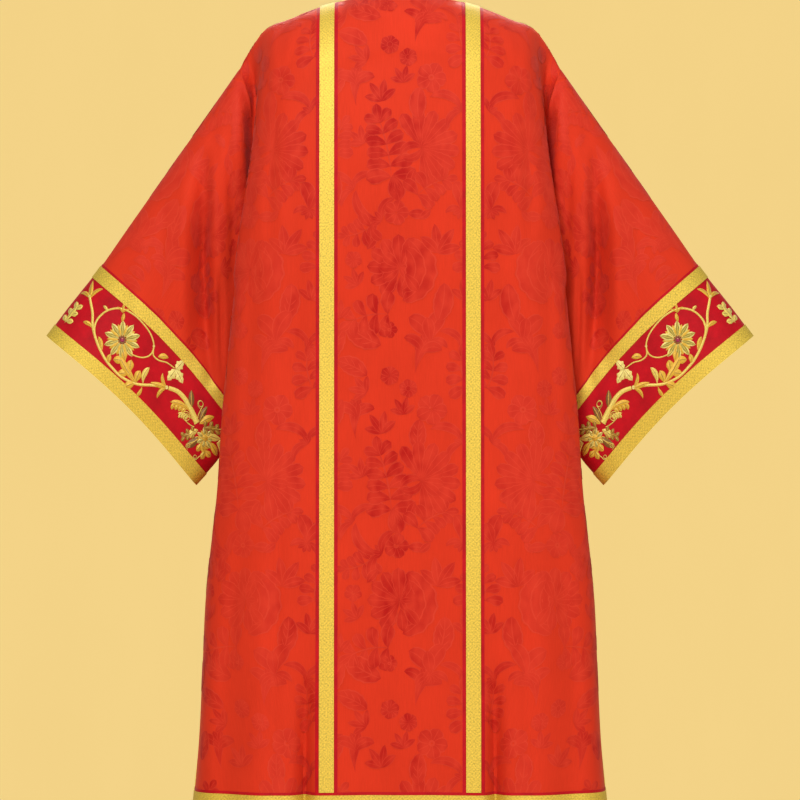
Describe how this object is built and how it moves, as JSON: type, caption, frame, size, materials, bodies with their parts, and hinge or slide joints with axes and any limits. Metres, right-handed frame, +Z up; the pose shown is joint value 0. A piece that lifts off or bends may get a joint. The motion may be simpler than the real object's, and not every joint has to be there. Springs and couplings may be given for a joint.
{
  "type": "dalmatic",
  "caption": "Worn liturgical robe of red damask, open at neck, hem and cuffs, with wide sleeves, long gold galloons and embroidered cuff bands.",
  "frame": {"origin": "between the shoulders, level with the neckline, on the middle line between back and front", "axes": "+Z up, +Y towards the wearer's front, so the pictured back faces -Y; +X towards the wearer's right arm, which is on the right of the picture"},
  "size_m": [1.136, 0.3449, 1.2835],
  "materials": {
    "back_panel": "red damask, satin ground with a duller woven design",
    "clavus_back_left": "woven metallic gold galloon",
    "clavus_back_right": "woven metallic gold galloon",
    "clavus_front_left": "woven metallic gold galloon",
    "clavus_front_right": "woven metallic gold galloon",
    "clavus_ground_back_left": "crimson ribbon ground",
    "clavus_ground_back_right": "crimson ribbon ground",
    "clavus_ground_front_left": "crimson ribbon ground",
    "clavus_ground_front_right": "crimson ribbon ground",
    "cuff_band_left": "crimson ground, embroidered in gold",
    "cuff_band_right": "crimson ground, embroidered in gold",
    "cuff_galloon_edge_left": "woven metallic gold galloon",
    "cuff_galloon_edge_right": "woven metallic gold galloon",
    "cuff_galloon_upper_left": "woven metallic gold galloon",
    "cuff_galloon_upper_right": "woven metallic gold galloon",
    "front_panel": "red damask, satin ground with a duller woven design",
    "hem_galloon_back": "woven metallic gold galloon",
    "hem_galloon_front": "woven metallic gold galloon",
    "hem_ground_back": "crimson ribbon ground",
    "hem_ground_front": "crimson ribbon ground",
    "sleeve_left": "red damask, satin ground with a duller woven design",
    "sleeve_right": "red damask, satin ground with a duller woven design",
    "vent_galloon_back_left": "woven metallic gold galloon",
    "vent_galloon_back_right": "woven metallic gold galloon",
    "vent_galloon_front_left": "woven metallic gold galloon",
    "vent_galloon_front_right": "woven metallic gold galloon"
  },
  "bodies": {
    "root": {"back_panel": "back_panel", "clavus_back_left": "clavus_back_left", "clavus_back_right": "clavus_back_right", "clavus_front_left": "clavus_front_left", "clavus_front_right": "clavus_front_right", "clavus_ground_back_left": "clavus_ground_back_left", "clavus_ground_back_right": "clavus_ground_back_right", "clavus_ground_front_left": "clavus_ground_front_left", "clavus_ground_front_right": "clavus_ground_front_right", "cuff_band_left": "cuff_band_left", "cuff_band_right": "cuff_band_right", "cuff_galloon_edge_left": "cuff_galloon_edge_left", "cuff_galloon_edge_right": "cuff_galloon_edge_right", "cuff_galloon_upper_left": "cuff_galloon_upper_left", "cuff_galloon_upper_right": "cuff_galloon_upper_right", "front_panel": "front_panel", "hem_galloon_back": "hem_galloon_back", "hem_galloon_front": "hem_galloon_front", "hem_ground_back": "hem_ground_back", "hem_ground_front": "hem_ground_front", "sleeve_left": "sleeve_left", "sleeve_right": "sleeve_right", "vent_galloon_back_left": "vent_galloon_back_left", "vent_galloon_back_right": "vent_galloon_back_right", "vent_galloon_front_left": "vent_galloon_front_left", "vent_galloon_front_right": "vent_galloon_front_right"}
  },
  "joints": []
}
